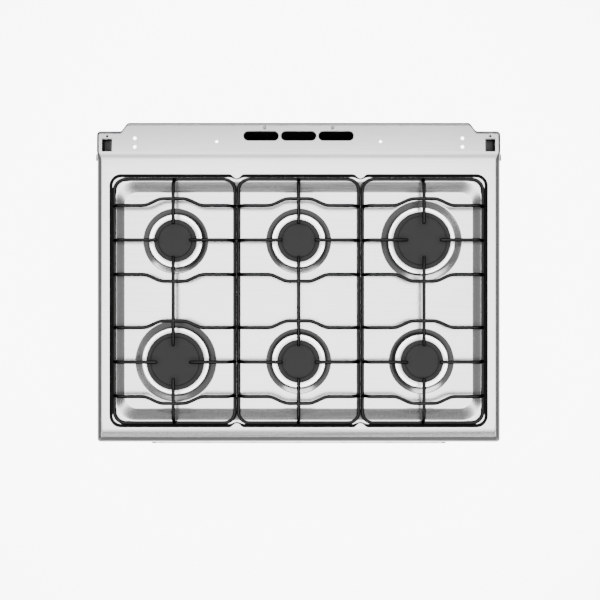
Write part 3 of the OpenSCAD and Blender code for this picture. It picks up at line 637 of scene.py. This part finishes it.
def add_deck_and_bowls(work, deck_z):
    bowls = [circle(b["x"], b["y"], floor_r(b) + wall_width(b) + 1.5) for b in BURNERS.values()]
    fill_flat(work, slope_loop(1.12), bowls, lambda x, y: deck_z)
    for b in BURNERS.values():
        r, wide = floor_r(b), wall_width(b)
        throat = b["r"] - 9.0
        wall = [(r + wide + 1.5, 0.0), (r + wide, 0.0)]
        wall += [(r + wide * (1 - i / 10), -BOWL_DROP * fall_at(i / 10)) for i in range(1, 11)]
        base = [(r - 1.5, -BOWL_DROP), (throat + 1.2, -BOWL_DROP), (throat + 0.3, -BOWL_DROP - 0.4),
                (throat, -BOWL_DROP - 2)]
        loops = [add_loop(work, with_height(circle(b["x"], b["y"], rr), deck_z + z)) for rr, z in wall + base]
        loft(work, loops[:len(wall)])
        # The bowl floors take the lighter steel: painted highlight.
        loft(work, loops[len(wall) - 1:], BOWL)


def build_cooktop():
    work = bmesh.new()
    seat_z, deck_z = RIM - SEAT_DROP, RIM - DECK_DROP
    add_rim_and_ledge(work, add_rolled_edge(work))
    add_seat_and_slope(work, seat_z, deck_z)
    add_deck_and_bowls(work, deck_z)

    bmesh.ops.remove_doubles(work, verts=work.verts, dist=2e-6)
    bmesh.ops.recalc_face_normals(work, faces=work.faces)
    largest = max(work.faces, key=lambda face: face.calc_area())
    if largest.normal.z < 0:
        bmesh.ops.reverse_faces(work, faces=work.faces)
    piece = to_object("cooktop", work, COOKTOP_MATERIALS, "body", ["cooktop_panel"])
    shell = piece.modifiers.new("thickness", "SOLIDIFY")
    shell.thickness = SHEET * MM
    shell.offset = -1
    apply_modifiers(piece)
    smooth_by_angle(piece, 40)


build_cooktop()


# ---------- tubes and lathes ----------

def ring_frames(points):
    """A direction and two side vectors at each point of a path, turned as little as possible."""
    tangents = []
    for i in range(len(points)):
        before = points[max(i - 1, 0)]
        after = points[min(i + 1, len(points) - 1)]
        tangents.append((after - before).normalized())
    side = tangents[0].orthogonal().normalized()
    frames = []
    for tangent in tangents:
        side = (side - tangent * side.dot(tangent)).normalized()
        frames.append((tangent, side, tangent.cross(side)))
    return frames


def add_tube(work, points, r, sides=16, closed=False):
    """A round wire along a path in millimetres: a closed loop, or open with domed ends."""
    points = [Vector(p) for p in points]
    if closed:
        tangents = [(points[(i + 1) % len(points)] - points[i - 1]).normalized() for i in range(len(points))]
        frames = [(t, Vector((0, 0, 1)), t.cross(Vector((0, 0, 1)))) for t in tangents]
    else:
        frames = ring_frames(points)
    stations = [(p, f, r) for p, f in zip(points, frames)]
    if not closed:
        first, last = stations[0], stations[-1]
        bulge = ((0.55, 0.80), (0.9, 0.40))
        stations = ([(first[0] - first[1][0] * r * d, first[1], r * s) for d, s in reversed(bulge)] + stations
                    + [(last[0] + last[1][0] * r * d, last[1], r * s) for d, s in bulge])
    loops = []
    for point, (_, u, v), radius in stations:
        ring = []
        for i in range(sides):
            a = 2 * math.pi * i / sides
            ring.append(work.verts.new((point + (u * math.cos(a) + v * math.sin(a)) * radius) * MM))
        loops.append(ring)
    if closed:
        loft(work, loops + [loops[0]])
    else:
        loft(work, loops)
        work.faces.new(list(reversed(loops[0])))
        work.faces.new(loops[-1])


def smooth_path(points, steps=6):
    """A Catmull-Rom curve through points."""
    pts = [Vector(p) for p in points]
    pts = [pts[0] * 2 - pts[1]] + pts + [pts[-1] * 2 - pts[-2]]
    out = []
    for a, b, c, d in zip(pts, pts[1:], pts[2:], pts[3:]):
        for i in range(steps):
            t = i / steps
            out.append(0.5 * ((2 * b) + (c - a) * t + (2 * a - 5 * b + 4 * c - d) * t * t
                              + (3 * b - a - 3 * c + d) * t ** 3))
    out.append(pts[-2])
    return out


def add_lathe(work, profile, centre, steps):
    """Turns a profile of (radius, height) round an upright axis; it closes where the radius is 0."""
    loops = []
    for r, h in profile:
        angles = [2 * math.pi * i / steps for i in range(steps)] if r else [0.0]
        loops.append([work.verts.new(Vector((centre[0] + r * math.cos(a), centre[1] + r * math.sin(a),
                                             centre[2] + h)) * MM) for a in angles])
    for a, b in zip(loops, loops[1:]):
        for i in range(steps):
            j = (i + 1) % steps
            if len(a) == 1:
                work.faces.new((a[0], b[j], b[i]))
            elif len(b) == 1:
                work.faces.new((a[i], a[j], b[0]))
            else:
                work.faces.new((a[i], a[j], b[j], b[i]))


def finish_piece(work, name, materials, body, replaced=(), angle=35):
    """Turns a bmesh into a piece with its faces outwards and smooth."""
    bmesh.ops.recalc_face_normals(work, faces=work.faces)
    piece = to_object(name, work, materials, body, replaced)
    smooth_by_angle(piece, angle)


# ---------- grates ----------

LOOP_R = 3.175
BAR_R = 3.2
TIP_GAP = 30.5
CROSS_OFFSET = 64.1
CROSS_BOW = 12.7
FOOT = [(0.6, 5.0), (2.0, 6.2), (4.4, 11.0), (8.2, 18.6), (11.4, 22.8), (16.0, 24.0)]  # inwards and up
FOOT_STEPS = 4
BURNER_ROWS = sorted({round(b["y"], 3) for b in BURNERS.values()})


def bow(x):
    return CROSS_BOW * smoothstep((57.5 - abs(x)) / (57.5 - 18.0))


def build_grate(node):
    a, b = (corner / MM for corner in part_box(node))
    x0 = (a.x + b.x) / 2
    half_x = (b.x - a.x) / 2 - LOOP_R
    half_y = (b.y - a.y) / 2 - LOOP_R
    mid_y = (a.y + b.y) / 2
    loop_z = a.z + LOOP_R
    bar_z = b.z - BAR_R
    foot = [(p, q * (bar_z - loop_z) / FOOT[-1][1]) for p, q in FOOT]
    wires = bmesh.new()
    base = round_rect(x0 - half_x, mid_y - half_y, x0 + half_x, mid_y + half_y, 21, 12)
    add_tube(wires, [(x, y, loop_z) for x, y in even_loop(base)], LOOP_R, 18, closed=True)
    for row in BURNER_ROWS:
        for side in (-1, 1):
            # A cross wire that bows round the burner
            y = row + side * CROSS_OFFSET
            left = smooth_path([(x0 - half_x + p, y, loop_z + q) for p, q in foot], FOOT_STEPS)
            across = [-75, -62] + [-57.5 + i * 39.5 / 9 for i in range(10)] + [-9, 0]
            across += [-x for x in reversed(across[:-1])]
            middle = [Vector((x0 + x, y + side * bow(x), bar_z)) for x in across]
            right = smooth_path([(x0 + half_x - p, y, loop_z + q) for p, q in reversed(foot)], FOOT_STEPS)
            add_tube(wires, left + middle + right, BAR_R)
            # A finger from the side towards the burner
            finger = smooth_path([(x0 + side * (half_x - p), row, loop_z + q) for p, q in foot], FOOT_STEPS)
            finger += [Vector((x0 + side * x, row, bar_z)) for x in (70, TIP_GAP + BAR_R * 0.5)]
            add_tube(wires, finger, BAR_R)
    # The fingers from the rear and the front, and the long wire between the two burners
    for end, row in ((mid_y + half_y, BURNER_ROWS[1]), (mid_y - half_y, BURNER_ROWS[0])):
        inward = -1 if end > mid_y else 1
        start = smooth_path([(x0, end + inward * p, loop_z + q) for p, q in foot], FOOT_STEPS)
        tip = row - inward * (TIP_GAP + BAR_R * 0.5)
        add_tube(wires, start + [Vector((x0, y, bar_z)) for y in ((start[-1].y + tip) / 2, tip)], BAR_R)
    inner = [BURNER_ROWS[1] - TIP_GAP - BAR_R * 0.5, BURNER_ROWS[0] + TIP_GAP + BAR_R * 0.5]
    add_tube(wires, [(x0, mix(inner[0], inner[1], i / 6), bar_z) for i in range(7)], BAR_R)
    finish_piece(wires, node + "_wires", [MATERIALS["grate_enamel"]], node, [node], 60)


def even_loop(points):
    """Adds points along the straight stretches of a loop."""
    out = []
    for i, (ax, ay) in enumerate(points):
        bx, by = points[(i + 1) % len(points)]
        length = math.hypot(bx - ax, by - ay)
        if length < 1e-6:
            continue
        count = max(1, int(length / 40))
        out += [(mix(ax, bx, k / count), mix(ay, by, k / count)) for k in range(count)]
    return out


for grate in GRATES:
    build_grate(grate)


# ---------- burner caps ----------

def build_cap(name, b):
    r, top = b["r"], b["top"]
    disc = r - 9.0
    low_z = b["low"] - top
    underside = [(0, -5.7), (r - 11.2, -5.7), (r - 11.0, -6.0), (r - 10.8, low_z), (r - 9.7, low_z),
                 (r - 9.5, -6.0), (r - 9.3, -5.7)]
    rim = [(r - 0.8, -5.7), (r - 0.2, -5.4), (r, -4.9), (r, -3.2), (r - 0.15, -2.75), (r - 0.5, -2.5),
           (r - 2.0, -2.45)]
    groove = [(disc + 1.4, -2.6), (disc + 1.1, -4.2), (disc + 0.3, -4.2)]
    face = [(disc + 0.15, -1.9), (disc - 0.15, -0.75), (disc - 0.55, -0.22), (disc - 1.4, -0.03),
            (disc - 3.0, 0), (0, 0)]
    work = bmesh.new()
    add_lathe(work, underside + rim + groove + face, (b["x"], b["y"], top), 120)
    finish_piece(work, name + "_lid", [MATERIALS["cap_enamel"]], name, [name], 50)


for cap, burner in BURNERS.items():
    build_cap(cap, burner)


# ---------- the CAD nodes that stay ----------

# How wide a bevel each of these nodes gets, in millimetres
SOFT_EDGES = {
    "drawer_front": 2.2, "door_handle": 3.0, "door_outer_glass": 0.5, "door_gasket": 1.6, "hinge_blocks": 0.6,
    "side_panel_left": 0.4, "side_panel_right": 0.4, "base_frame": 0.6, "burner_heads": 0.25,
    "ignition_button": 1.2,
}


def dress_cad_nodes():
    """Gives each CAD node that stays its material, and some of them softer edges."""
    for name, node in NODES.items():
        if node.hide_render:
            continue
        material = MATERIALS[SLOT_OF[name]]
        node.data.materials.clear()
        node.data.materials.append(material)
        node.data.polygons.foreach_set("material_index", [0] * len(node.data.polygons))
        if name in SOFT_EDGES:
            node.modifiers.new("weld", "WELD").merge_threshold = 1e-5
            bevel = node.modifiers.new("soft_edges", "BEVEL")
            bevel.width = SOFT_EDGES[name] * MM
            bevel.segments = 3
            bevel.limit_method = "ANGLE"
            bevel.angle_limit = math.radians(50)
            node.data.polygons.foreach_set("use_smooth", [True] * len(node.data.polygons))
            node.modifiers.new("even_faces", "WEIGHTED_NORMAL").keep_sharp = True


dress_cad_nodes()


# ---------- marks on the knobs and the panel ----------

KNOBS = ["knob_" + str(i) for i in range(1, 8)]
OVEN_KNOB = "knob_4"
PRINT = 0.2  # how far a mark stands out of its face
TICK_R = 29.5
TICK_WIDTH = 1.6
# Which of the six dots, from the rear left to the front right, is the knob's own burner
KNOB_BURNERS = {"knob_1": 3, "knob_2": 0, "knob_3": 4, "knob_5": 1, "knob_6": 2, "knob_7": 5}


def build_pointers():
    for knob in KNOBS:
        a, b = (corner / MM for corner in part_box(knob))
        centre = (a + b) / 2
        work = bmesh.new()
        add_box(work, (centre.x, a.y, centre.z + 14.0), (1.8, 2 * PRINT, 11.0))
        finish_piece(work, knob + "_pointer", [POINTER_PAINT], knob)


def build_panel_print():
    """Ticks round the knobs, and six dots under each that show its burner."""
    work = bmesh.new()
    face_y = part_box("control_panel")[0].y / MM
    for knob in KNOBS:
        centre = centre_of(knob)
        ticks = [0, 90, 150, 210] if knob != OVEN_KNOB else [0] + list(range(30, 271, 30))
        for angle in ticks:
            turn = math.radians(angle)
            length = 7.0 if angle in (0, 90) else 4.0
            add_tick(work, (centre.x, face_y, centre.z), turn, length)
        if knob in KNOB_BURNERS:
            for i in range(6):
                size = 4.4 if i == KNOB_BURNERS[knob] else 2.2
                x = centre.x + (i % 3 - 1) * 6.0
                z = centre.z - 35.0 - (i // 3) * 6.0
                add_box(work, (x, face_y, z), (size, 2 * PRINT, size))
    finish_piece(work, "panel_print", [PRINT_INK], "body")


def add_tick(work, centre, turn, length):
    """A short line that points at a knob's middle; turn runs anticlockwise from the top."""
    out = Vector((-math.sin(turn), 0, math.cos(turn)))
    side = Vector((out.z, 0, -out.x))
    middle = Vector(centre) + out * TICK_R
    corners = []
    for depth in (-PRINT, PRINT):
        for u, v in ((-1, -1), (1, -1), (1, 1), (-1, 1)):
            place = middle + side * u * TICK_WIDTH / 2 + out * v * length / 2 + Vector((0, depth, 0))
            corners.append(work.verts.new(place * MM))
    for ids in ((0, 1, 2, 3), (7, 6, 5, 4), (0, 4, 5, 1), (1, 5, 6, 2), (2, 6, 7, 3), (3, 7, 4, 0)):
        work.faces.new([corners[i] for i in ids])


build_pointers()
build_panel_print()


# ---------- floor, light and camera ----------

def build_stage():
    floor = bmesh.new()
    floor.faces.new([floor.verts.new((x * FLOOR_REACH, y * FLOOR_REACH, 0))
                     for x, y in ((-1, -1), (1, -1), (1, 1), (-1, 1))])
    mesh = bpy.data.meshes.new("floor")
    floor.to_mesh(mesh)
    floor.free()
    mesh.materials.append(GLOWING_FLOOR)
    piece = bpy.data.objects.new("floor", mesh)
    bpy.context.scene.collection.objects.link(piece)


def area_light(name, place, aim, size, power):
    data = bpy.data.lights.new(name, "AREA")
    data.shape = "RECTANGLE"
    data.size, data.size_y = size
    data.energy = power
    light = bpy.data.objects.new(name, data)
    bpy.context.scene.collection.objects.link(light)
    light.location = place
    light.rotation_euler = (Vector(aim) - Vector(place)).to_track_quat("-Z", "Y").to_euler()


def build_light():
    """A dim dome, one wide softbox overhead and one panel low at the rear."""
    middle = (0, 0, RIM * MM)
    area_light("overhead", (0, -0.15, 4.2), (0, -0.15, 0), (2.64, 2.2), 155)
    area_light("rear_panel", (0, 2.6, 3.4), middle, (3.0, 0.6), 45)
    world = bpy.data.worlds.new("studio")
    bpy.context.scene.world = world
    world.use_nodes = True
    world.node_tree.nodes["Background"].inputs["Color"].default_value = (1, 1, 1, 1)
    world.node_tree.nodes["Background"].inputs["Strength"].default_value = 0.35


CAMERA_HEIGHT = 2100.0  # above the rim
VIEW_WIDTH = 1127.4  # what the frame spans at the rim
CAMERA_X, CAMERA_Y = 2.6, MID_Y - 32.9
SENSOR = 36


def build_camera():
    """Straight above the cooktop, a little to the right of its middle and towards the front."""
    data = bpy.data.cameras.new("camera")
    camera = bpy.data.objects.new("camera", data)
    bpy.context.scene.collection.objects.link(camera)
    data.sensor_width = SENSOR
    data.lens = SENSOR * CAMERA_HEIGHT / VIEW_WIDTH
    camera.location = Vector((CAMERA_X, CAMERA_Y, RIM + CAMERA_HEIGHT)) * MM
    camera.rotation_euler = (0, 0, 0)
    bpy.context.scene.camera = camera


build_stage()
build_light()
build_camera()
